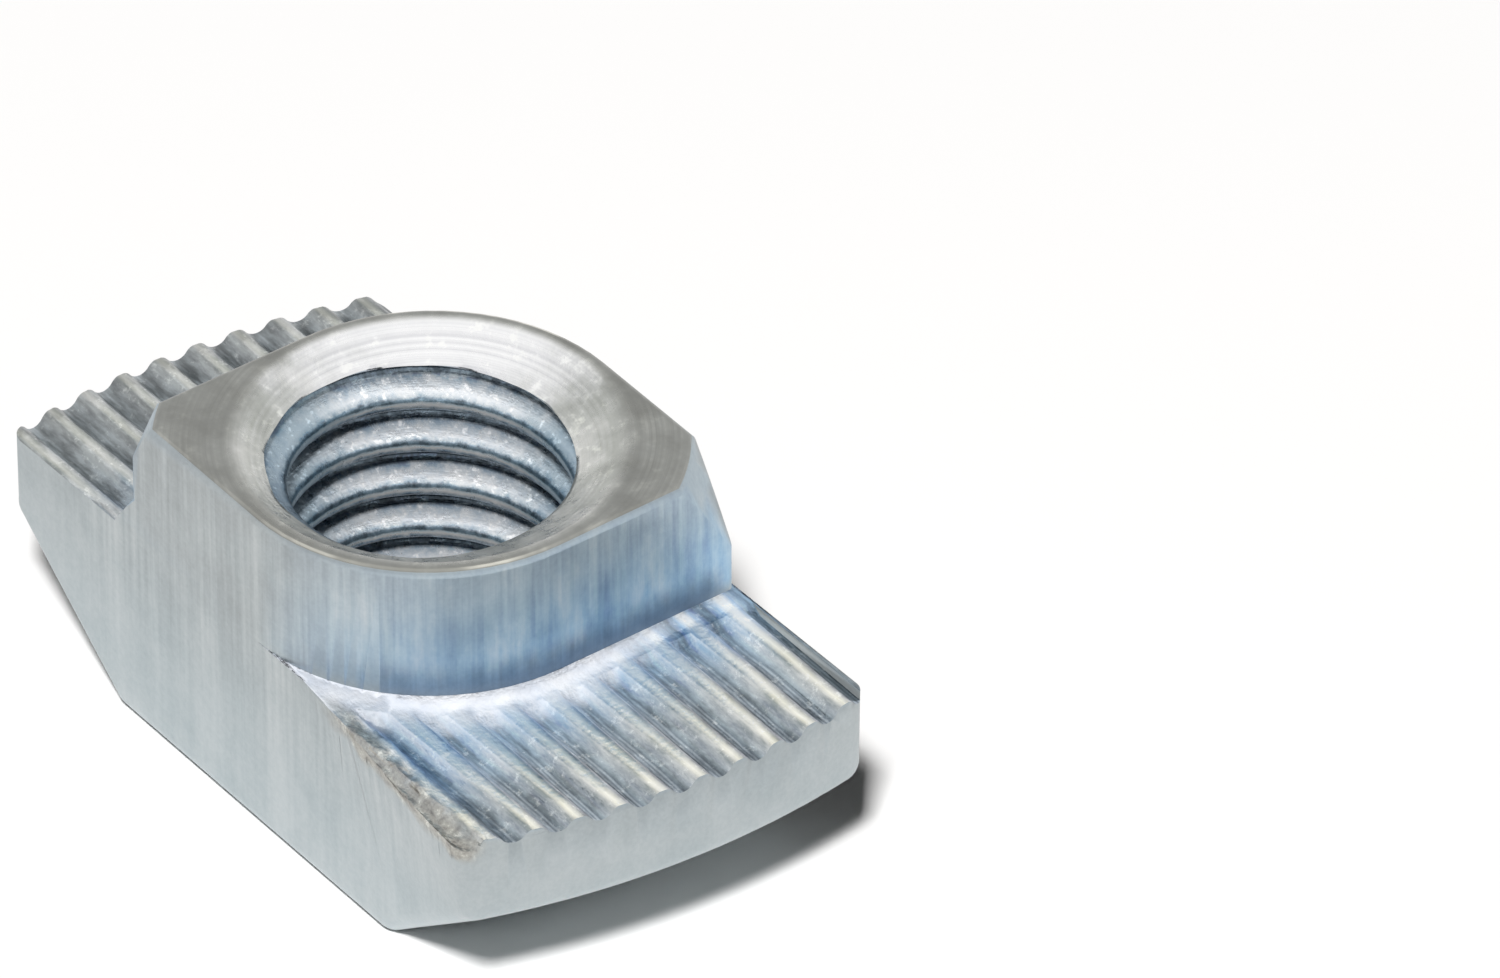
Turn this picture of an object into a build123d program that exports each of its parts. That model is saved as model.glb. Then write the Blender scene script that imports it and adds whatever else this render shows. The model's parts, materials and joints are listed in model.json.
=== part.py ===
from build123d import *
from math import cos, sin, sqrt, tan, radians, atan2
import os

os.makedirs("parts", exist_ok=True)

# A hammer-type T-slot nut: one forged and tapped steel piece.
# Own frame: origin on the bore axis at the flat bottom face, +Z towards the collar,
# +X along the body's long direction, sides square to Y.  Millimetres.
# The shape repeats itself after half a turn about Z and has no mirror twin; only one
# corner differs, where more metal was squeezed out when the serrations were pressed.

# ---- driving sizes ---------------------------------------------------------
width = 9.9              # body and collar across their flat sides, for a 10 mm slot mouth
length = 20.1            # body over its two curved ends
height = 9.17            # bottom face to collar face
wing_height = 5.6        # bottom face to the clamping faces at the collar's foot
end_height = 2.3         # upright part of each end, below the clamping face
bevel_run = 4.05         # how far each underside bevel reaches in from the end
end_radius = 20.5        # curve of the ends, seen from above
end_offset = 1.75        # the curve's centre sits this far off the long axis
edge_fillet = 0.5        # rounding of the long bottom edges and the sloping edges
corner_fillet = 0.4      # rounding of the upright corners of the body
collar_nose = 0.15       # upright rounding of the collar's two square corners
collar_edge = 0.2        # rounding of the collar's top edge
gusset_height = 1.3      # lump at the foot of the (-X, -Y) square corner, above the clamping face
gusset_reach = 0.75      # and how far it runs out along the clamping face
gusset_inset = 0.3       # its axis stands this far inside both flat sides
gusset_top = 0.2         # its radius at the top
crown_trim = 0.8         # how far a turned cone trims the square corners, at the collar face
crown_slope = 68.0       # steepness of that cone, degrees from level
crown_shift = 0.22       # the turned cone runs this far off the bore, along the diagonal
thread_major = 8.0       # M8
thread_pitch = 1.25
sink_top_rim = 0.27      # from the countersink's mouth to the flat side, at the collar face
sink_bottom_rim = 0.4    # the same at the bottom face
sink_slope = 30.0        # countersink cone, degrees from level
rib_pitch = 1.035        # serrations, one crest to the next
rib_front = 0.26         # offset of a crest from the long axis, +X wing
rib_back = 0.41          # and -X wing
rib_land = 4.95          # the cuts stop here and leave a thin ridge at the side edge
rib_depth = 0.27         # crest to valley at the tip of a wing
rib_fade = 0.7           # slope of the valleys, degrees, shallower towards the collar
pad_margin = 0.7         # plain band left round the collar's foot
pad_slope = 35.0         # run-out of the valleys into that band, degrees from level
spread = 0.73            # squeezed-out corner: how far past the flat side, at its tip
spread_run = 8.25        # that bulge starts this far back from the tip, at the clamping face
spread_low_run = 4.15    # and this far back at the bottom face
swell = 0.12             # the same bulge, much smaller, on the same wing's other side
swell_run = 9.0
swell_low_run = 2.5

# ---- sizes that follow -----------------------------------------------------
half = width / 2
reach = length / 2
end_foot = wing_height - end_height           # level where the bevels start
crown_radius = half * sqrt(2) - crown_trim
bore_radius = (thread_major - 1.0825 * thread_pitch) / 2
big = 4 * length                              # generous size for cutting tools


def end_x(y):
    """Distance out to the curved +X end at the side offset y."""
    return reach - end_radius + sqrt(end_radius ** 2 - (y - end_offset) ** 2)


def wave(start, stop, depth):
    """Rounded wave from start to past stop: crests at zero, valleys at -depth."""
    quarter = rib_pitch / 4
    bend = (quarter ** 2 + (depth / 2) ** 2) / depth      # arc radius, crests and valleys alike
    swing = atan2(quarter, bend - depth / 2) / 2
    over = bend * sin(swing)
    drop = bend * (1 - cos(swing))
    y = start
    while y < stop:
        turn = (y + quarter, -depth / 2)
        back = (y + 3 * quarter, -depth / 2)
        ThreePointArc((y, 0), (y + over, -drop), turn)
        ThreePointArc(turn, (y + 2 * quarter, -depth), back)
        ThreePointArc(back, (y + rib_pitch - over, -drop), (y + rib_pitch, 0))
        y += rib_pitch
    return y


def collar_outline():
    """Square with two opposite corners rounded to the full half width."""
    with BuildSketch(mode=Mode.PRIVATE) as outline:
        with BuildLine():
            Polyline((0, -half), (-half, -half), (-half, 0))
            RadiusArc((-half, 0), (0, half), half)
            Polyline((0, half), (half, half), (half, 0))
            RadiusArc((half, 0), (0, -half), half)
        make_face()
        fillet(outline.vertices().filter_by(lambda v: v.X * v.Y > 1), collar_nose)
    return outline.sketch


def ring_cutter(profile):
    """Solid of revolution about Z from a closed profile of (radius, height) points."""
    with BuildPart(mode=Mode.PRIVATE) as ring:
        with BuildSketch(Plane.XZ):
            with BuildLine():
                Polyline(*profile, close=True)
            make_face()
        revolve(axis=Axis.Z)
    return ring.part


def bulge(side, out, run, low_run):
    """Wedge past one flat side of the +X wing, wider towards the tip and towards the top."""
    start = reach - run
    lip = (end_x(side * (half + out)), side * (half + out))
    root = (start, side * half)
    inner = side * (half - 1)
    with BuildPart(mode=Mode.PRIVATE) as wedge:
        with BuildSketch():
            with BuildLine():
                Polyline((start, inner), root, lip)
                ThreePointArc(lip, (end_x(side * half), side * half), (end_x(inner), inner))
                Line((end_x(inner), inner), (start, inner))
            make_face()
        extrude(amount=wing_height)
        along = Vector(lip[0] - start, side * out, 0)
        down = Vector(run - low_run, 0, -wing_height)
        flank = Plane(origin=(*root, wing_height), x_dir=along, z_dir=down.cross(along) * -side)
        with BuildSketch(flank):
            Rectangle(big, big)
        extrude(amount=width, mode=Mode.SUBTRACT)
    return wedge.part


def comb(offset):
    """Cutter for the serrations of the +X wing: rounded waves along X with a crest at offset,
    a little shallower towards the collar, and a plain band left round the collar's foot."""
    fade = radians(rib_fade)
    entry = Plane(origin=(reach + 1, 0, wing_height), x_dir=(0, -1, 0),
                  z_dir=(-cos(fade), 0, sin(fade)))
    first = -offset - rib_pitch * (round(half / rib_pitch) + 1)
    pad = half + pad_margin
    rise = 1 / tan(radians(pad_slope))
    band = [(0, wing_height - 3), (pad + 3 * rise, wing_height - 3),
            (pad - rise, wing_height + 1), (0, wing_height + 1)]
    with BuildPart(mode=Mode.PRIVATE) as cutter:
        with BuildSketch(entry):
            with BuildLine():
                last = wave(first, half + 2 * rib_pitch, rib_depth)
                Polyline((last, 0), (last, 3), (first, 3), (first, 0))
            make_face()
        extrude(amount=reach)
        add(ring_cutter(band), mode=Mode.SUBTRACT)
        with BuildSketch(Plane.XZ):
            with BuildLine():
                Polyline(*band, close=True)
            make_face()
        extrude(amount=-2 * width, mode=Mode.SUBTRACT)
        with Locations((0, rib_land, 0)):
            Box(big, big, big, align=(Align.CENTER, Align.MIN, Align.CENTER), mode=Mode.SUBTRACT)
    return cutter.part


with BuildPart() as t_slot_nut:
    # body: flat sides, two curved ends
    far = (end_x(half), half)
    near = (end_x(-half), -half)
    with BuildSketch():
        with BuildLine():
            Line((-near[0], half), far)
            ThreePointArc(far, (reach, end_offset), near)
            Line(near, (-far[0], -half))
            ThreePointArc((-far[0], -half), (-reach, -end_offset), (-near[0], half))
        make_face()
    extrude(amount=wing_height)

    # metal squeezed past the flat sides of the wings
    add(bulge(-1, spread, spread_run, spread_low_run))
    add(bulge(1, swell, swell_run, swell_low_run))

    # underside bevels, following the curve of the ends
    rate = bevel_run / end_foot
    cone = ring_cutter([(end_radius - bevel_run - rate, -1), (end_radius + rate, end_foot + 1),
                        (end_radius + big, end_foot + 1), (end_radius + big, -1)])
    with BuildPart(mode=Mode.PRIVATE) as bevel:
        with Locations((reach, end_offset, 0)):
            Box(length - 1, 3 * width, big)
        add(cone.moved(Location((reach - end_radius, end_offset, 0))), mode=Mode.INTERSECT)
    for turn in (0, 180):
        add(bevel.part.rotate(Axis.Z, turn), mode=Mode.SUBTRACT)

    # rounded edges: all round the bottom face, up the sloping edges, then the upright corners
    edges = t_slot_nut.edges()
    low = edges.filter_by(lambda e: e.center().Z < 0.8 * end_foot)
    crease = low.filter_by(GeomType.LINE).filter_by(lambda e: e.center().Z > 0.1)
    fillet([e for e in low if e not in crease], edge_fillet)
    upright = t_slot_nut.edges().filter_by(
        lambda e: e.geom_type in (GeomType.LINE, GeomType.ELLIPSE)
        and end_foot < e.center().Z < wing_height - 0.1 and abs(e.center().X) > 0.75 * reach)
    fillet(upright, corner_fillet)

    # serrations on both wings
    add(comb(rib_front), mode=Mode.SUBTRACT)
    add(comb(-rib_back).rotate(Axis.Z, 180), mode=Mode.SUBTRACT)

    # collar, its two square corners trimmed by a steep turned cone
    fall = 1 / tan(radians(crown_slope))
    trim = ring_cutter([(crown_radius - fall, height + 1), (crown_radius + height * fall, 0),
                        (big, 0), (big, height + 1)])
    off_axis = -crown_shift / sqrt(2)
    with BuildPart(mode=Mode.PRIVATE) as collar:
        with BuildSketch(Plane.XY.offset(end_foot)):
            add(collar_outline())
        extrude(amount=height - end_foot)
        add(trim.moved(Location((off_axis, off_axis, 0))), mode=Mode.SUBTRACT)
        fillet(collar.faces().sort_by(Axis.Z)[-1].edges(), collar_edge)
    add(collar.part)

    # lump at the foot of one square corner: a small cone cut flush with the flat side
    spot = -half + gusset_inset
    widen = (gusset_reach + gusset_inset - gusset_top) / gusset_height
    with BuildPart(mode=Mode.PRIVATE) as gusset:
        with Locations((spot, spot, wing_height - rib_depth)):
            Cone(gusset_top + widen * (gusset_height + rib_depth), gusset_top,
                 gusset_height + rib_depth, align=(Align.CENTER, Align.CENTER, Align.MIN))
        with Locations((0, -half, 0)):
            Box(big, big, big, align=(Align.CENTER, Align.MIN, Align.CENTER), mode=Mode.INTERSECT)
    add(gusset.part)

    # tapped bore with a countersink at each mouth
    with Locations((0, 0, height / 2)):
        Cylinder(bore_radius, 2 * height, mode=Mode.SUBTRACT)
    sink = tan(radians(sink_slope))
    for rim, level, way in ((sink_top_rim, height, 1), (sink_bottom_rim, 0, -1)):
        mouth = half - rim
        tool = ring_cutter([(0, level - way * mouth * sink), (mouth + 1 / sink, level + way),
                            (0, level + way)])
        add(tool, mode=Mode.SUBTRACT)

t_slot_nut.part.label = "t_slot_nut"
export_step(t_slot_nut.part, "parts/t_slot_nut.step")
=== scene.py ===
import bpy
import bmesh
import json
import math
import numpy as np
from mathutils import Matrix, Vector, noise


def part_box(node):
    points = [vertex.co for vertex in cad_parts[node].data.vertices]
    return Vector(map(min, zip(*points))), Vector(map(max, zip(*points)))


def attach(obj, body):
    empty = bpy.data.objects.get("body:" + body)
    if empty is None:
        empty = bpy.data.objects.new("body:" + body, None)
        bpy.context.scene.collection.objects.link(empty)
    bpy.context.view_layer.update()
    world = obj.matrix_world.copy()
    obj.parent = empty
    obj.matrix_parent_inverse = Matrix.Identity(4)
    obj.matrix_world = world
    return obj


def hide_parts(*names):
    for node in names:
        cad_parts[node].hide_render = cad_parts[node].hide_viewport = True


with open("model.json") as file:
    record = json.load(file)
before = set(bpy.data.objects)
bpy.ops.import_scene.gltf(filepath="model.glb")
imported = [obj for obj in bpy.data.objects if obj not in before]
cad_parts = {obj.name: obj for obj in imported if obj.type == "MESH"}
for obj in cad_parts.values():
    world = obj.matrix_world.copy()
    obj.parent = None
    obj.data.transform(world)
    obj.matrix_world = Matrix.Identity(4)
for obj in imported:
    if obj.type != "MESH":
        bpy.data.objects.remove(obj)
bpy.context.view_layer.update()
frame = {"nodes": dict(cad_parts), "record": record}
MM = 0.001

# ---- places and sizes that the looks need ------------------------------------
thread = next(m for m in frame["record"]["mounts"] if m["name"] == "thread")
BORE = thread["dims"]["r_mm"] * MM      # minor radius of the thread
MAJOR = 4.0 * MM                        # nominal major radius of M8
PITCH = 1.25 * MM
START = 0.66                            # where the thread starts, in turns
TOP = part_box("t_slot_nut")[1][2]        # collar face
SINK = math.tan(math.radians(30))       # countersinks: depth over radius
ROLL = 0.22 * MM                        # how far a countersink's rim rolls over
WING = 5.6 * MM                         # crests of the ribs
RIB = 1.035 * MM                        # from one crest to the next
CREST_FRONT = 0.26 * MM                 # a crest's distance from the long axis on the +X wing
CREST_BACK = 0.41 * MM                  # and on the -X wing
SIDE = 4.95 * MM                        # flat sides, from the long axis
SPREAD = 0.73 * MM                      # the squeezed-out corner stands this far past the flat side,
SPREAD_FROM = 1.8 * MM                  # growing from this X
SPREAD_RUN = 8.25 * MM                  # over this length


def new_object(name, data):
    o = bpy.data.objects.new(name, data)
    bpy.context.scene.collection.objects.link(o)
    return o


# ---- the nut: the CAD form, its plain bore and countersinks replaced by a real thread ----
nut = new_object("nut", frame["nodes"]["t_slot_nut"].data.copy())
nut.data.materials.clear()
bm = bmesh.new()
bm.from_mesh(nut.data)
bmesh.ops.remove_doubles(bm, verts=bm.verts, dist=1e-7)
IN_BORE = bm.faces.layers.int.new("in_bore")


def in_cad_bore(face):
    """Whether a CAD face is in the bore or a countersink: near the axis, and facing it."""
    c = face.calc_center_median()
    r = math.hypot(c.x, c.y)
    return r < 4.7 * MM and face.normal.x * c.x + face.normal.y * c.y < -0.1 * r


bmesh.ops.delete(bm, geom=[f for f in bm.faces if in_cad_bore(f)], context="FACES")


def mouth_loop(level):
    """Open edge of a countersink: its vertices sorted by angle, and its mean radius."""
    ring = {v for e in bm.edges if e.is_boundary for v in e.verts if abs(v.co.z - level) < 0.01 * MM}
    loop = sorted(ring, key=lambda v: math.atan2(v.co.y, v.co.x))
    return loop, sum(math.hypot(v.co.x, v.co.y) for v in loop) / len(loop)


loop_top, MOUTH_TOP = mouth_loop(TOP)
loop_low, MOUTH_LOW = mouth_loop(0)


def thread_profile(steps=400, softness=0.04):
    """Phases over one pitch, the crest at 0, and the radius at each, with the ridges rounded.

    Before rounding it is the ISO form: the crest is a quarter of the pitch wide, the root an eighth.
    """
    phase = np.arange(steps) / steps
    from_crest = np.minimum(phase, 1 - phase)
    sharp = np.interp(from_crest, [1 / 8, 7 / 16], [BORE, MAJOR])
    kernel = np.exp(-0.5 * (from_crest / softness) ** 2)
    soft = np.real(np.fft.ifft(np.fft.fft(sharp) * np.fft.fft(kernel / kernel.sum())))
    return phase, np.maximum(soft, BORE)


PHASE, PROFILE = thread_profile()


def sink_radius(depth, mouth):
    """Countersink radius at a depth below its mouth; the rim rolls over softly."""
    knee = ROLL * SINK / 2
    rolled = np.sqrt(np.maximum(depth, 0) * 2 * ROLL / SINK)
    return mouth - np.where(depth < knee, rolled, depth / SINK + ROLL / 2)


def wall_radius(theta, z):
    """Radius of the bore: the widest of the thread and the two countersinks."""
    turn = (z / PITCH - theta / (2 * math.pi) - START) % 1.0
    groove = np.interp(turn, PHASE, PROFILE, period=1.0)
    sinks = np.maximum(sink_radius(TOP - z, MOUTH_TOP), sink_radius(z, MOUTH_LOW))
    return np.maximum(groove, sinks)


def bore_levels(per_turn=22, mouth_rows=21, mouth_run=1.0 * MM):
    """Heights of the bore's rows of vertices, from the top down, closer together near the mouths."""
    near = np.linspace(0, 1, mouth_rows + 1)[1:] ** 1.5 * mouth_run
    first = TOP - mouth_run - 0.055 * MM        # one row below the upper mouth's
    last = mouth_run + 0.03 * MM                # short of the lower mouth's
    return np.concatenate([TOP - near, np.arange(first, last, -PITCH / per_turn), near[::-1]])


def bore_wall(columns=168):
    """Faces down the bore; returns their vertices, row by row."""
    angles = (np.arange(columns) + 0.5) / columns * 2 * math.pi - math.pi
    theta, z = np.meshgrid(angles, bore_levels())
    rows = [[bm.verts.new((r * math.cos(t), r * math.sin(t), h)) for r, t, h in zip(*row)]
            for row in zip(wall_radius(theta, z), theta, z)]
    for upper, lower in zip(rows, rows[1:]):
        for j in range(columns):
            k = (j + 1) % columns
            bm.faces.new((upper[j], upper[k], lower[k], lower[j]))[IN_BORE] = 1
    return rows


def zip_rings(outer, inner, flip):
    """Triangles between two rings of vertices, both sorted by angle."""
    turn = 2 * math.pi
    a = [math.atan2(v.co.y, v.co.x) for v in outer]
    b = [math.atan2(v.co.y, v.co.x) for v in inner]
    i = j = 0
    while i < len(a) or j < len(b):
        next_a = a[(i + 1) % len(a)] + (turn if i + 1 >= len(a) else 0)
        next_b = b[(j + 1) % len(b)] + (turn if j + 1 >= len(b) else 0)
        pair = (outer[i % len(a)], inner[j % len(b)])
        if j >= len(b) or (i < len(a) and next_a <= next_b):
            i += 1
            trio = (*pair, outer[i % len(a)])
        else:
            j += 1
            trio = (*pair, inner[j % len(b)])
        bm.faces.new(trio if flip else trio[::-1])[IN_BORE] = 1


rows = bore_wall()
zip_rings(loop_top, rows[0], False)
zip_rings(loop_low, rows[-1], True)

# ---- the squeezed-out corner: torn, lumpy metal along the side edge of the +X wing ----
PATCH_LOW = Vector((1.6, -6.0, 4.9)) * MM
PATCH_HIGH = Vector((10.2, -3.9, 5.75)) * MM
LUMP = 0.10 * MM


def patch():
    """Vertices, edges and faces of the corner that gets the lumps."""
    faces = [f for f in bm.faces
             if all(lo < c < hi for lo, c, hi in zip(PATCH_LOW, f.calc_center_median(), PATCH_HIGH))]
    return list({v for f in faces for v in f.verts}) + list({e for f in faces for e in f.edges}) + faces


def divide_patch(axis, start, stop, step):
    """Cut the corner's faces by planes square to an axis, places in mm, so that they can take lumps."""
    at = start
    while at < stop:
        place = Vector((0, 0, 0))
        place[axis] = at * MM
        bmesh.ops.bisect_plane(bm, geom=patch(), plane_co=place, plane_no=place.normalized(), dist=2e-6)
        at += step


def clamp(value):
    return min(1.0, max(0.0, value))


def lump(co):
    """How far a point of the torn edge moves out along its normal."""
    x, y, z = co
    edge = -SIDE - SPREAD * max(0.0, (x - SPREAD_FROM) / SPREAD_RUN)
    # the lumps fade out by the collar and at the tip, and are largest just inside the upper edge
    along = clamp((x - 2.2 * MM) / (1.0 * MM)) * clamp((10.0 * MM - x) / (0.5 * MM))
    close = math.exp(-((y - edge - 0.25 * MM) / (0.42 * MM)) ** 2) * clamp((z - 4.9 * MM) / (0.35 * MM))
    spot = co / MM
    rough = sum(size * noise.noise(spot * scale) for size, scale in ((1, 2.6), (0.6, 6.1), (0.35, 13.0)))
    return LUMP * rough * along * close


divide_patch(0, 1.7, 10.0, 0.16)
divide_patch(1, -5.6, -3.95, 0.13)
divide_patch(2, 4.95, 5.6, 0.13)
bm.normal_update()
corner = [v for v in bm.verts if PATCH_LOW.x < v.co.x < PATCH_HIGH.x and v.co.y < -4.1 * MM
          and PATCH_LOW.z < v.co.z < PATCH_HIGH.z]
for v, move in [(v, v.normal * lump(v.co)) for v in corner]:
    v.co += move
    v.co.z = min(v.co.z, WING + 0.05 * MM)
bmesh.ops.dissolve_degenerate(bm, dist=1e-7, edges=bm.edges[:])
bm.normal_update()
bm.to_mesh(nut.data)
bm.free()


# ---- materials ---------------------------------------------------------------
class Nodes:
    """Short calls for building the node tree of a material or of the world."""

    def __init__(self, owner, output="ShaderNodeOutputMaterial"):
        owner.use_nodes = True
        self.owner = owner
        self.tree = owner.node_tree
        self.tree.nodes.clear()
        self.output = self.new(output).inputs[0]
        self.place = self.new("ShaderNodeTexCoord").outputs
        self.co = self.place["Object"]
        self.x, self.y, self.z = self.split(self.co)
        self.nx, _, self.nz = self.split(self.place["Normal"])

    def new(self, kind, **settings):
        n = self.tree.nodes.new(kind)
        for name, value in settings.items():
            setattr(n, name, value)
        return n

    def put(self, sock, v):
        """Set an input to a number or a colour, or link it to an output."""
        if isinstance(v, (int, float)):
            sock.default_value = v
        elif isinstance(v, tuple):
            sock.default_value = v if len(v) == len(sock.default_value) else (*v, 1)
        else:
            self.tree.links.new(v, sock)

    def fed(self, kind, **inputs):
        """First output of a node with its inputs given; an underscore in a name stands for a space."""
        n = self.new(kind)
        for name, value in inputs.items():
            self.put(n.inputs[name.replace("_", " ")], value)
        return n.outputs[0]

    def pick(self, fac, first, second):
        """One shader where fac is 0, and another where it is 1."""
        n = self.new("ShaderNodeMixShader")
        for sock, value in zip(n.inputs, (fac, first, second)):
            self.put(sock, value)
        return n.outputs[0]

    def split(self, vec):
        n = self.new("ShaderNodeSeparateXYZ")
        self.put(n.inputs[0], vec)
        return list(n.outputs)

    def radius(self):
        """Distance from the bore's axis."""
        n = self.new("ShaderNodeVectorMath", operation="LENGTH")
        self.put(n.inputs[0], self.fed("ShaderNodeCombineXYZ", X=self.x, Y=self.y))
        return n.outputs["Value"]

    def math(self, op, a, b=0.0):
        n = self.new("ShaderNodeMath", operation=op)
        self.put(n.inputs[0], a)
        self.put(n.inputs[1], b)
        return n.outputs[0]

    def add(self, a, b):
        return self.math("ADD", a, b)

    def sub(self, a, b):
        return self.math("SUBTRACT", a, b)

    def mul(self, a, *others):
        for b in others:
            a = self.math("MULTIPLY", a, b)
        return a

    def div(self, a, b):
        return self.math("DIVIDE", a, b)

    def abs(self, a):
        return self.math("ABSOLUTE", a)

    def swing(self, fac, size):
        """A noise moved so that it goes size / 2 either way from zero."""
        return self.mul(self.sub(fac, 0.5), size)

    def range(self, v, a, b, c=0.0, d=1.0, smooth=True):
        """c where v is a, d where it is b, and between them in between."""
        n = self.new("ShaderNodeMapRange", interpolation_type="SMOOTHSTEP" if smooth else "LINEAR")
        for sock, value in zip(n.inputs, (v, a, b, c, d)):
            self.put(sock, value)
        return n.outputs[0]

    def noise(self, scale, detail=3.0, rough=0.55, stretch=(1, 1, 1), vec=None):
        place = self.fed("ShaderNodeMapping", Vector=vec or self.co, Scale=stretch)
        return self.fed("ShaderNodeTexNoise", Vector=place, Scale=scale, Detail=detail, Roughness=rough)

    def ramp(self, fac, *stops):
        """Colours along a value; a stop is its place and its colour, or its place and one grey."""
        n = self.new("ShaderNodeValToRGB")
        elements = n.color_ramp.elements
        while len(elements) < len(stops):
            elements.new(0.5)
        for element, (at, colour) in zip(elements, stops):
            element.position = at
            element.color = (*colour, 1) if isinstance(colour, tuple) else (colour, colour, colour, 1)
        self.put(n.inputs[0], fac)
        return n.outputs[0]

    def mix(self, fac, a, b, kind="MIX"):
        n = self.new("ShaderNodeMix", data_type="RGBA", blend_type=kind)
        for i, value in ((0, fac), (6, a), (7, b)):     # 6 and 7 are its colour inputs, 2 its colour output
            self.put(n.inputs[i], value)
        return n.outputs[2]

    def tone(self, colour, fac, amount, low=0.35, high=0.65):
        """Lighten and darken a colour by a noise, about its own value."""
        return self.mix(amount, colour, self.ramp(fac, (low, 0.22), (high, 0.78)), "OVERLAY")

    def metal(self, colour, rough, height, strength, distance, metallic=1.0):
        """Close a material's tree with a metal that has this colour and relief."""
        relief = self.fed("ShaderNodeBump", Height=height, Strength=strength, Distance=distance)
        surface = self.fed("ShaderNodeBsdfPrincipled", Base_Color=colour, Metallic=metallic, Roughness=rough,
                           Normal=relief)
        self.put(self.output, surface)
        return self.owner


def torn(g, colour, limit):
    """Brownish, speckled metal along the torn edge of the squeezed-out corner."""
    edge = g.mul(g.sub(g.x, SPREAD_FROM), -SPREAD / SPREAD_RUN)
    inside = g.sub(g.add(g.y, SIDE), edge)
    wavy = g.swing(g.noise(1500, 3, 0.6), 0.7 * MM)
    band = g.range(g.add(inside, wavy), 0.15 * MM, 0.6 * MM, 1.0, 0.0)
    upper = g.range(g.add(g.z, wavy), 4.95 * MM, 5.35 * MM)
    along = g.range(g.x, 2.2 * MM, 4.0 * MM)
    mask = g.mul(band, upper, along, limit, 0.85)
    rust = g.ramp(g.noise(2900, 4, 0.75), (0.34, (0.24, 0.22, 0.20)), (0.46, (0.42, 0.40, 0.36)),
                  (0.56, (0.54, 0.53, 0.48)), (0.68, (0.95, 0.93, 0.85)))
    return g.mix(mask, colour, rust)


def body_finish(g):
    """Pale blue-grey zinc on the pressed sides and ends, with a painted blue reflection on the collar's
    wall.
    """
    # lighter low down, darker higher up
    plain = g.mix(g.range(g.z, 1 * MM, 8.6 * MM), (0.529, 0.589, 0.612), (0.453, 0.488, 0.498))
    # a painted blue reflection, strongest low on the collar, where its wall faces along X
    across = g.math("POWER", g.abs(g.nx), 1.1)
    collar = g.range(g.z, 5.45 * MM, 6.0 * MM)
    fade = g.range(g.z, 5.8 * MM, 9.1 * MM, 1.0, 0.35)
    blue = g.mul(across, collar, fade)
    reflection_blues = g.ramp(g.noise(1000, 4, 0.65, stretch=(1, 1, 0.35)), (0.32, (0.283, 0.480, 0.695)),
                   (0.5, (0.425, 0.635, 0.830)), (0.68, (0.630, 0.795, 0.925)))
    colour = g.mix(blue, plain, reflection_blues)
    # dark reflection at the foot of the collar's wall
    near_collar = g.range(g.radius(), 6.4 * MM, 7.0 * MM, 1.0, 0.0)
    near_collar = g.mul(near_collar, g.range(g.z, 5.5 * MM, 5.62 * MM))
    foot = g.mul(g.range(g.z, 5.8 * MM, 6.7 * MM, 0.9, 0.0), near_collar, across)
    colour = g.mix(foot, colour, (0.13, 0.20, 0.30))
    cloud = g.noise(520, 4, 0.6)
    colour = g.tone(colour, cloud, 0.16)
    # upright scratches on the walls, fainter at the tips
    streak = g.noise(5200, 3, 0.6, stretch=(1, 1, 0.035))
    broad = g.noise(1500, 2, 0.5, stretch=(1, 1, 0.06))
    wall = g.range(g.abs(g.nz), 0.0, 0.35, 1.0, 0.0)
    wall = g.mul(wall, g.range(g.abs(g.x), 6.0 * MM, 8.5 * MM, 1.0, 0.15))
    strength = g.mul(wall, g.range(g.z, 1.5 * MM, 6 * MM, 0.06, 0.24))
    strength = g.add(strength, g.mul(blue, 0.2))
    colour = g.tone(colour, streak, strength, 0.3, 0.7)
    colour = g.tone(colour, broad, g.mul(wall, 0.10))
    fine = g.noise(9000, 2, 0.6)
    colour = g.tone(colour, fine, 0.07)
    colour = torn(g, colour, g.range(g.z, 5.62 * MM, 5.7 * MM, 1.0, 0.0))
    height = g.add(g.mul(streak, wall), g.mul(fine, 0.8))
    return g.metal(colour, g.range(cloud, 0.3, 0.7, 0.36, 0.46), height, 0.25, 0.02 * MM)


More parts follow.
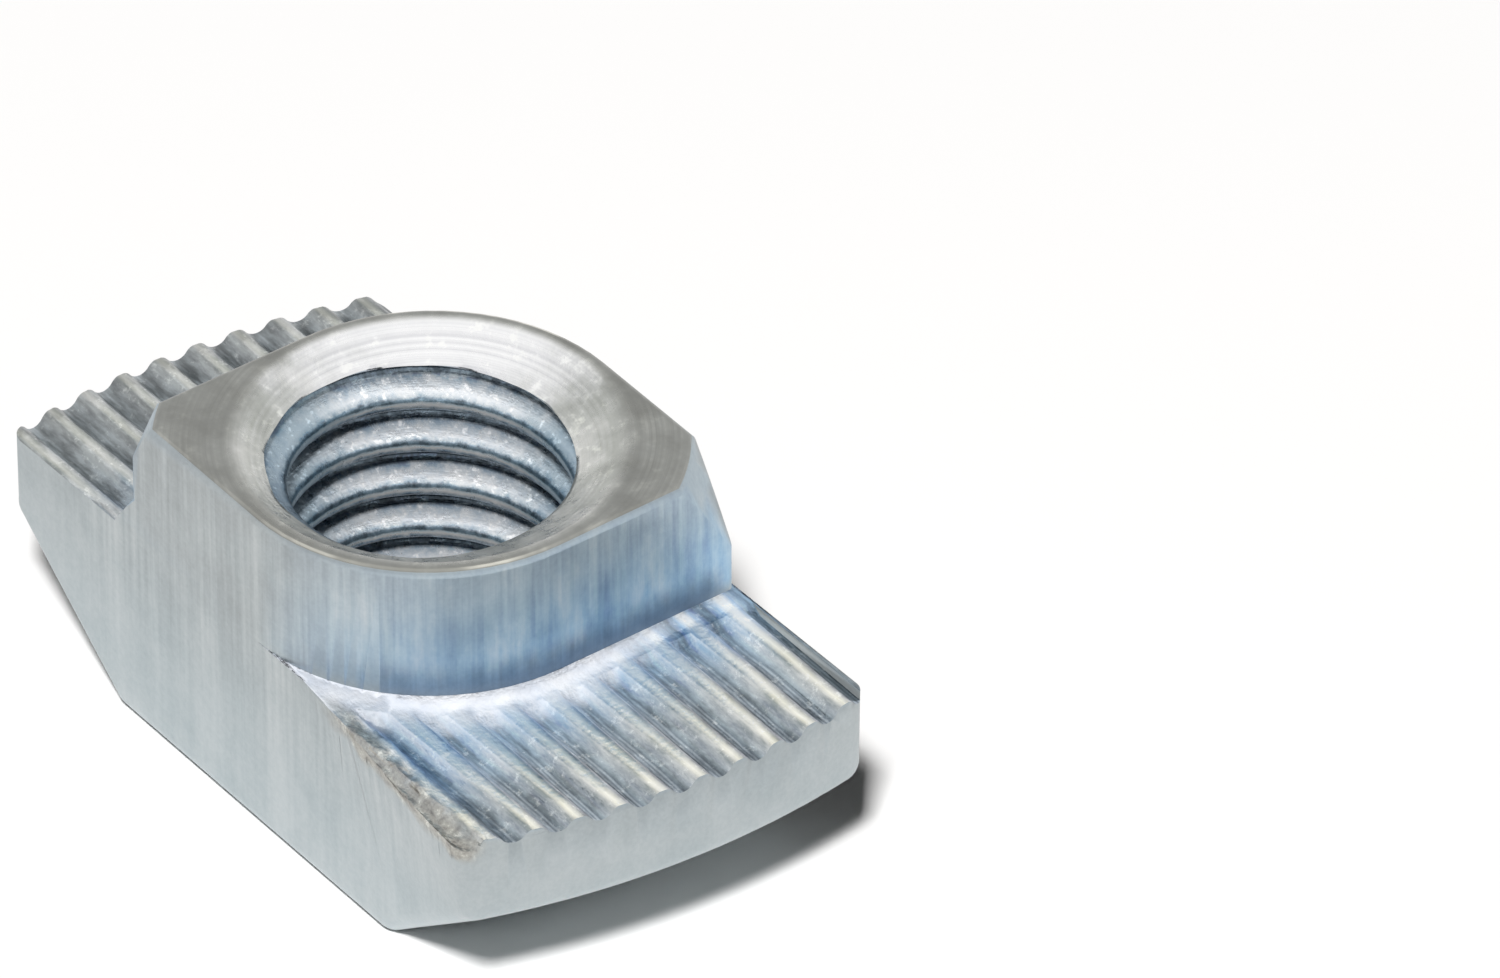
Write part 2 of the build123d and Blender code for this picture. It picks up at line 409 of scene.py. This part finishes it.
def wing_finish(g):
    """Serrated wing: rounded ridges with painted highlights, narrow valleys with painted shade, painted
    white highlight at the collar's foot.
    """
    front = g.math("GREATER_THAN", g.x, 0.0)
    crest = g.range(front, 0.0, 1.0, CREST_BACK, CREST_FRONT, smooth=False)
    phase = g.div(g.sub(g.y, crest), RIB)
    wander = g.swing(g.noise(700, 2, 0.5, stretch=(0.5, 1, 1)), 0.22)
    phase = g.math("FRACT", g.add(g.add(phase, wander), 40.5))      # 0 and 1 in the valleys
    # painted highlights on the crests and painted shade in the valleys, out at the tip and near the collar
    tip = g.ramp(phase, (0.0, (0.42, 0.48, 0.53)), (0.045, (0.20, 0.24, 0.28)), (0.11, (0.32, 0.38, 0.42)),
                 (0.22, (0.47, 0.52, 0.56)), (0.35, (0.50, 0.53, 0.53)), (0.43, (0.86, 0.85, 0.77)),
                 (0.49, (1.0, 0.99, 0.90)), (0.56, (0.78, 0.78, 0.72)), (0.64, (0.44, 0.46, 0.47)),
                 (0.74, (0.42, 0.43, 0.48)), (0.83, (0.31, 0.36, 0.40)), (0.89, (0.42, 0.47, 0.52)),
                 (0.95, (0.21, 0.25, 0.29)), (1.0, (0.42, 0.48, 0.53)))
    root = g.ramp(phase, (0.0, (0.26, 0.38, 0.50)), (0.06, (0.23, 0.32, 0.43)), (0.14, (0.36, 0.50, 0.66)),
                  (0.3, (0.62, 0.76, 0.92)), (0.44, (0.92, 0.97, 1.0)), (0.58, (0.90, 0.95, 1.0)),
                  (0.70, (0.52, 0.66, 0.84)), (0.83, (0.32, 0.44, 0.60)), (0.93, (0.23, 0.32, 0.43)),
                  (1.0, (0.28, 0.40, 0.52)))
    out = g.abs(g.x)
    colour = g.mix(g.range(out, 5.4 * MM, 8.2 * MM), root, tip)
    colour = g.mix(g.range(front, 0.0, 1.0, 0.60, 0.0), colour, (0.46, 0.485, 0.485))
    # painted glints and sparkle on the ridges; the glint noise also gives their relief and roughness
    glint = g.noise(2600, 4, 0.7, stretch=(0.3, 1, 1))
    colour = g.tone(colour, glint, 0.62, 0.38, 0.62)
    spark = g.ramp(g.noise(3400, 4, 0.75), (0.56, 0.0), (0.74, (0.55, 0.55, 0.52)))
    colour = g.mix(0.7, colour, spark, "ADD")
    # painted white highlight at the collar's foot, strongest on the side of its rounded corner
    ragged = g.swing(g.noise(1100, 3, 0.6), 0.9 * MM)
    reach = g.add(g.math("MAXIMUM", g.radius(), out), ragged)
    foot_highlight = g.range(reach, 5.3 * MM, 6.5 * MM, 1.0, 0.0)
    toward = g.mul(g.y, g.range(front, 0, 1, -1, 1, smooth=False))
    foot_highlight = g.mul(foot_highlight, g.range(toward, 0.5 * MM, 4.2 * MM, 1.0, 0.25))
    white = g.ramp(g.noise(1300, 3, 0.6), (0.3, (0.71, 0.76, 0.85)), (0.7, (0.91, 0.93, 0.97)))
    colour = torn(g, g.mix(foot_highlight, colour, white), 1.0)
    height = g.add(g.mul(glint, 1.4), g.noise(7000, 3, 0.6))
    metallic = g.sub(1.0, g.mul(foot_highlight, 0.75))
    return g.metal(colour, g.range(glint, 0.3, 0.7, 0.30, 0.44), height, 0.7, 0.035 * MM, metallic)


def bright_side(g, rad):
    """1 on the bore's -X, +Y side, where its painted reflections are brightest, and -1 opposite."""
    return g.div(g.sub(g.mul(g.y, 0.583), g.mul(g.x, 0.8125)), rad)


def turned_look(g, rad):
    """Colour and relief of metal turned round the bore: grey-brown face, brighter countersink."""
    rings = g.noise(7000, 3, 0.7, vec=g.fed("ShaderNodeCombineXYZ", X=rad))
    broken = g.noise(900, 4, 0.65)
    cloud = g.noise(560, 4, 0.6)
    face = g.ramp(cloud, (0.3, (0.290, 0.290, 0.270)), (0.7, (0.380, 0.385, 0.368)))
    cone = g.ramp(cloud, (0.3, (0.44, 0.45, 0.42)), (0.5, (0.58, 0.59, 0.56)), (0.72, (0.88, 0.87, 0.84)))
    colour = g.mix(g.range(rad, 4.2 * MM, 4.8 * MM), cone, face)
    # a bright reflection, painted on one side of the countersink
    facing = g.add(bright_side(g, rad), g.swing(broken, 0.7))
    gleam = g.mul(g.range(facing, 0.35, 0.95), g.range(rad, 4.45 * MM, 4.7 * MM, 1.0, 0.0))
    colour = g.mix(gleam, colour, g.ramp(rings, (0.35, (0.80, 0.80, 0.83)), (0.6, (0.98, 0.98, 1.0))))
    colour = g.tone(colour, rings, g.range(broken, 0.35, 0.65, 0.05, 0.30))
    colour = g.tone(colour, broken, 0.20)
    blotch = g.ramp(g.noise(1800, 3, 0.7), (0.58, 0.0), (0.74, (0.28, 0.28, 0.24)))
    colour = g.mix(g.range(rad, 4.7 * MM, 4.3 * MM, 0.2, 0.9), colour, blotch, "ADD")
    height = g.add(g.mul(rings, 0.7), g.noise(6000, 3, 0.6))
    return colour, height, cloud


def turned_finish(g):
    """The collar's turned face, with a painted highlight: a thin bright line along its rounded edge."""
    colour, height, cloud = turned_look(g, g.radius())
    # painted highlight along the rounded edge, stronger at the rounded corners
    edge = g.mul(g.range(g.nz, 0.75, 0.9), g.range(g.nz, 0.95, 0.99, 1.0, 0.0))
    edge = g.mul(edge, g.range(g.z, TOP - 0.12 * MM, TOP - 0.05 * MM))
    corner = g.abs(g.sub(g.x, g.y))             # largest at the rounded corners
    edge = g.mul(edge, g.range(corner, 4.5 * MM, 6.2 * MM, 0.25, 1.0))
    edge = g.mul(edge, g.range(g.noise(450, 3, 0.6), 0.45, 0.65, 0.1, 0.75))
    colour = g.mix(edge, colour, (0.92, 0.90, 0.82))
    return g.metal(colour, g.range(cloud, 0.3, 0.7, 0.26, 0.40), height, 0.35, 0.02 * MM)


def bore_finish(g):
    """Countersinks and cut thread: mottled flanks and thin crests with painted highlights, blue-grey roots
    with painted shade.
    """
    rad = g.radius()
    theta = g.math("ARCTAN2", g.y, g.x)
    turn = g.sub(g.div(g.z, PITCH), g.div(theta, 2 * math.pi))
    grit = g.noise(2100, 4, 0.7)
    turn = g.add(turn, g.swing(grit, 0.10))
    phase = g.math("FRACT", g.add(turn, 20.0 - START))      # 0 and 1 on the crests
    # painted highlights on the crests and flanks, painted shade in the roots
    cut = g.ramp(phase, (0.0, 1.0), (0.035, (0.80, 0.90, 0.95)), (0.07, (0.19, 0.27, 0.33)),
                 (0.115, (0.19, 0.26, 0.32)), (0.155, (0.58, 0.65, 0.71)), (0.21, (0.92, 0.95, 0.99)),
                 (0.28, (0.78, 0.83, 0.88)), (0.35, (0.55, 0.62, 0.69)), (0.42, (0.32, 0.40, 0.47)),
                 (0.48, (0.20, 0.26, 0.32)), (0.88, (0.19, 0.25, 0.32)), (0.95, (0.60, 0.70, 0.78)),
                 (1.0, 1.0))
    cut = g.tone(cut, g.noise(2600, 4, 0.75), 0.8, 0.39, 0.61)
    cut = g.tone(cut, g.noise(420, 2, 0.5), 0.6, 0.36, 0.64)
    # painted sparkle on the lit part of the flanks
    spark = g.ramp(g.noise(5200, 2, 0.6), (0.60, 0.0), (0.70, (0.6, 0.6, 0.62)))
    lit = g.ramp(phase, (0.0, 0.3), (0.1, 0.0), (0.2, 1.0), (0.33, 0.6), (0.45, 0.0), (0.9, 0.0), (1.0, 0.3))
    cut = g.mix(lit, cut, g.mix(1.0, cut, spark, "ADD"))
    # painted shade on the thread, away from its bright side
    side = g.range(g.add(bright_side(g, rad), g.swing(grit, 0.5)), 0.55, 0.98, 0.9, 0.0)
    cut = g.mix(side, cut, (0.40, 0.50, 0.56), "MULTIPLY")
    # how far a point lies behind the countersink cone at each mouth
    behind_top = g.sub(TOP - MOUTH_TOP * SINK, g.sub(g.z, g.mul(rad, SINK)))
    behind_low = g.sub(g.add(g.z, g.mul(rad, SINK)), MOUTH_LOW * SINK)
    behind = g.math("MINIMUM", g.abs(behind_top), g.abs(behind_low))
    # painted shade on the thread just below each countersink
    cut = g.mix(g.range(behind, 0.16 * MM, 0.42 * MM, 0.8, 0.0), cut, (0.24, 0.30, 0.37), "MULTIPLY")
    coned = g.range(behind, 0.10 * MM, 0.19 * MM, 1.0, 0.0)
    cone, rings, _ = turned_look(g, rad)
    height = g.add(rings, g.noise(5200, 3, 0.65))
    metallic = g.range(coned, 0.0, 1.0, 0.62, 0.95)
    return g.metal(g.mix(coned, cut, cone), g.range(grit, 0.3, 0.7, 0.24, 0.40), height, 0.5,
                   0.025 * MM, metallic)


FINISHES = {"body": body_finish, "wing": wing_finish, "turned": turned_finish, "bore": bore_finish}
for name, finish in FINISHES.items():
    nut.data.materials.append(finish(Nodes(bpy.data.materials.new("zinc_" + name))))


def finish_of(face, in_bore):
    """Which finish a face takes, from where it is and how it faces."""
    z, up = face.center.z, face.normal.z
    if in_bore:
        return "bore"
    if z > TOP - 0.06 * MM and up > 0.8:
        return "turned"
    if WING - 0.8 * MM < z < WING + 0.1 * MM and up > 0.4:
        return "wing"
    return "body"


for face, mark in zip(nut.data.polygons, nut.data.attributes["in_bore"].data):
    face.material_index = list(FINISHES).index(finish_of(face, mark.value))
    face.use_smooth = True
nut.data.set_sharp_from_angle(angle=math.radians(46))
flat = nut.modifiers.new("flat_faces", "WEIGHTED_NORMAL")
flat.keep_sharp = True
flat.weight = 80

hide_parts("t_slot_nut")
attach(nut, "root")

# ---- floor -------------------------------------------------------------------


def floor_finish(g):
    """White to the camera; a little darker and warmer in the light that it gives back."""
    grain = g.ramp(g.noise(60, 2, 0.5), (0.3, (0.895, 0.885, 0.875)), (0.7, (0.905, 0.895, 0.885)))
    lit = g.fed("ShaderNodeBsdfDiffuse", Color=grain)
    seen = g.fed("ShaderNodeBsdfDiffuse", Color=(1.0, 0.992, 0.984))
    path = g.new("ShaderNodeLightPath").outputs
    g.put(g.output, g.pick(path["Is Camera Ray"], lit, seen))
    return g.owner


bpy.ops.mesh.primitive_plane_add(size=1.2, location=(0, 0, 0))
floor = bpy.context.object
floor.name = "floor"
floor.data.materials.append(floor_finish(Nodes(bpy.data.materials.new("floor"))))

# ---- light -------------------------------------------------------------------


def studio(g):
    """White to the camera, a grey gradient to the metal's reflections, and nearly dark to all else."""
    def light(colour, strength=1.0):
        return g.fed("ShaderNodeBackground", Color=colour, Strength=strength)

    height = g.split(g.place["Generated"])[2]
    grade = g.ramp(height, (0.0, 1.0), (0.25, 0.92), (0.6, (0.72, 0.73, 0.74)), (0.86, (0.95, 0.95, 0.93)),
                   (1.0, (1.0, 1.0, 0.98)))
    path = g.new("ShaderNodeLightPath").outputs
    direct = g.math("LESS_THAN", path["Diffuse Depth"], 0.5)    # 1 until a ray has left a diffuse surface
    shine = g.mul(path["Is Glossy Ray"], direct)
    reflected = g.pick(shine, light((1.0, 0.98, 0.96), 0.03), light(grade))
    g.put(g.output, g.pick(path["Is Camera Ray"], reflected, light((1.0, 1.0, 1.0))))
    return g.owner


def turn_to(o, target):
    """Point a lamp or the camera at a place."""
    o.rotation_euler = (target - o.location).to_track_quat("-Z", "Y").to_euler()


bpy.context.scene.world = studio(Nodes(bpy.data.worlds.new("studio"), "ShaderNodeOutputWorld"))

# ---- camera ------------------------------------------------------------------
AZIMUTH = math.radians(54.34)
ELEVATION = math.radians(37.87)
SPAN = 392 * MM                         # from the camera to the middle of the collar's top
PICTURE_WIDTH = 34.29355 * MM           # what the picture shows across, at that distance
AIM_RIGHT = 7.27801 * MM                # the camera looks past the collar's middle, right of it
AIM_DOWN = 1.24051 * MM                 # and below it
right = Vector((math.cos(AZIMUTH), math.sin(AZIMUTH), 0))
level = Vector((math.sin(AZIMUTH), -math.cos(AZIMUTH), 0))
back = level * math.cos(ELEVATION) + Vector((0, 0, math.sin(ELEVATION)))
up = back.cross(right)
collar = Vector((0, 0, 9.15 * MM))
camera = new_object("camera", bpy.data.cameras.new("camera"))
camera.data.sensor_width = 36
camera.data.lens = camera.data.sensor_width * SPAN / PICTURE_WIDTH
camera.data.clip_start = 0.01
camera.data.clip_end = 10
camera.location = collar + back * SPAN
turn_to(camera, collar + right * AIM_RIGHT - up * AIM_DOWN)
bpy.context.scene.camera = camera
bpy.context.scene.view_settings.view_transform = "Standard"

# soft key lamp, high on the camera's side, so that the shadow tucks in under the wing; not reflected
key = new_object("key", bpy.data.lights.new("key", "AREA"))
key.data.size = 0.16
key.data.energy = 23.9
key.location = (level * 0.584 - right * 0.08 + Vector((0, 0, 0.81))).normalized() * 1.4
turn_to(key, Vector((0, 0, 0)))
key.visible_glossy = False
